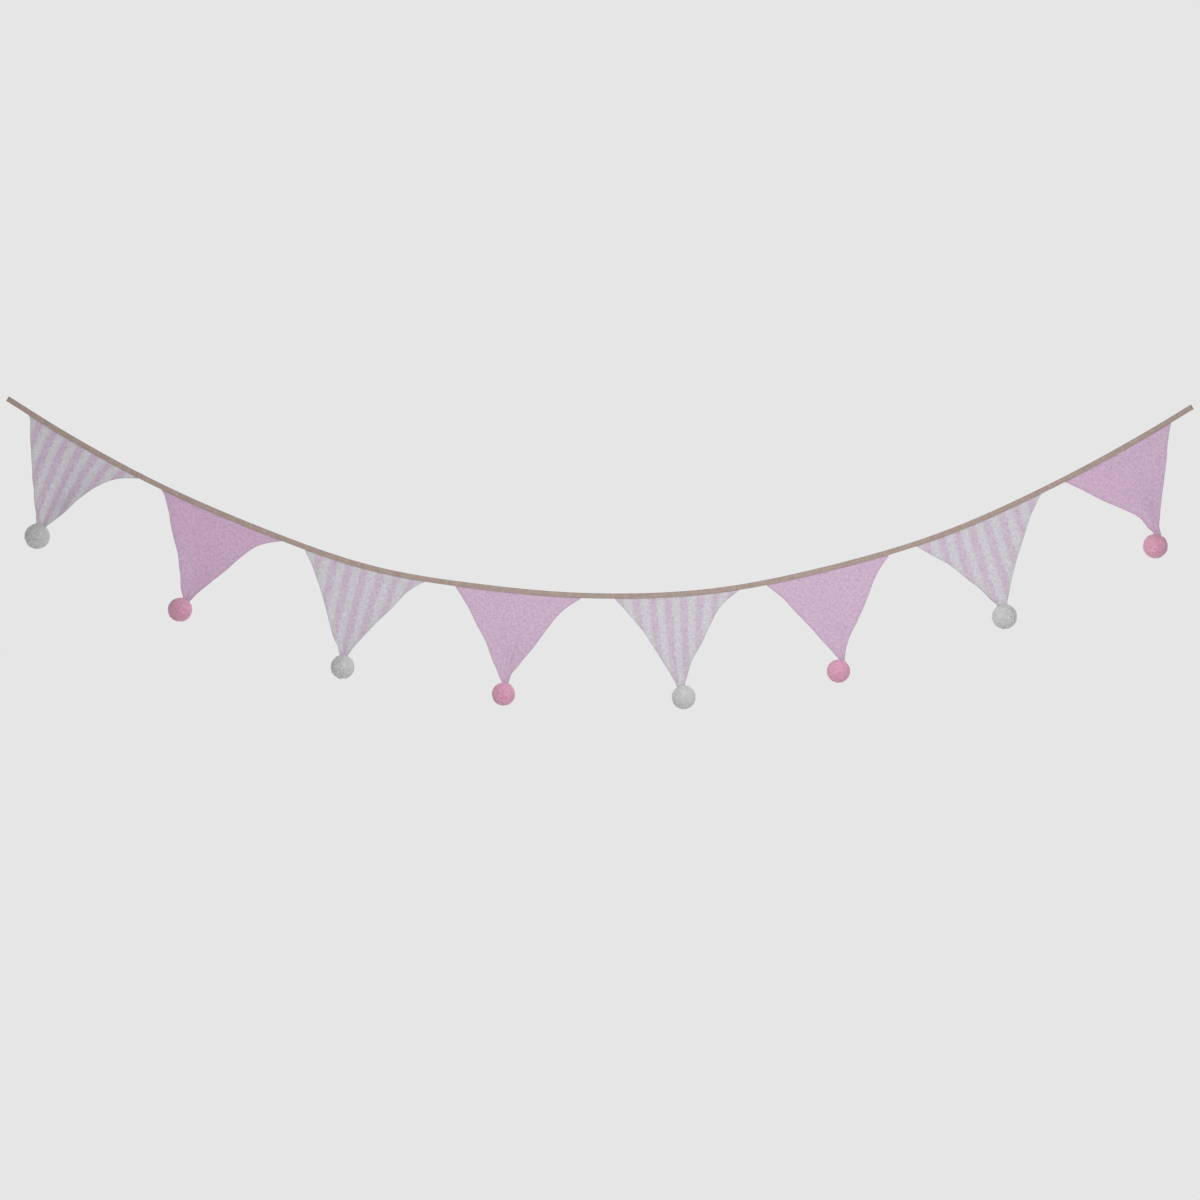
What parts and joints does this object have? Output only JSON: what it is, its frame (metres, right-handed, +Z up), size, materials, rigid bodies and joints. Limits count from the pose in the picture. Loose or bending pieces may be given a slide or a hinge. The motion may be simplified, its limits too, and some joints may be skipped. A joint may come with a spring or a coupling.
{
  "type": "fabric bunting",
  "caption": "Swag of triangular gauze flags, striped and plain by turns, bound along the top by a folded tape, with a yarn pompom on each tip.",
  "frame": {"origin": "middle of the garland, on the top edge of the binding tape", "axes": "+X along the garland to the right as seen from the front, +Y away from the front, +Z up"},
  "size_m": [1.7101, 0.041, 0.4503],
  "materials": {
    "tape_cotton": "matte plain-woven cotton tape, beige",
    "gauze_striped": "matte crinkled double gauze, white and pale pink stripes",
    "gauze_pink": "matte crinkled double gauze, lilac pink",
    "yarn_white": "trimmed soft yarn, white",
    "yarn_pink": "trimmed soft yarn, pink"
  },
  "bodies": {
    "root": {"binding_tape": "tape_cotton", "flag_1": "gauze_striped", "pompom_1": "yarn_white", "flag_2": "gauze_pink", "pompom_2": "yarn_pink", "flag_3": "gauze_striped", "pompom_3": "yarn_white", "flag_4": "gauze_pink", "pompom_4": "yarn_pink", "flag_5": "gauze_striped", "pompom_5": "yarn_white", "flag_6": "gauze_pink", "pompom_6": "yarn_pink", "flag_7": "gauze_striped", "pompom_7": "yarn_white", "flag_8": "gauze_pink", "pompom_8": "yarn_pink"}
  },
  "joints": []
}
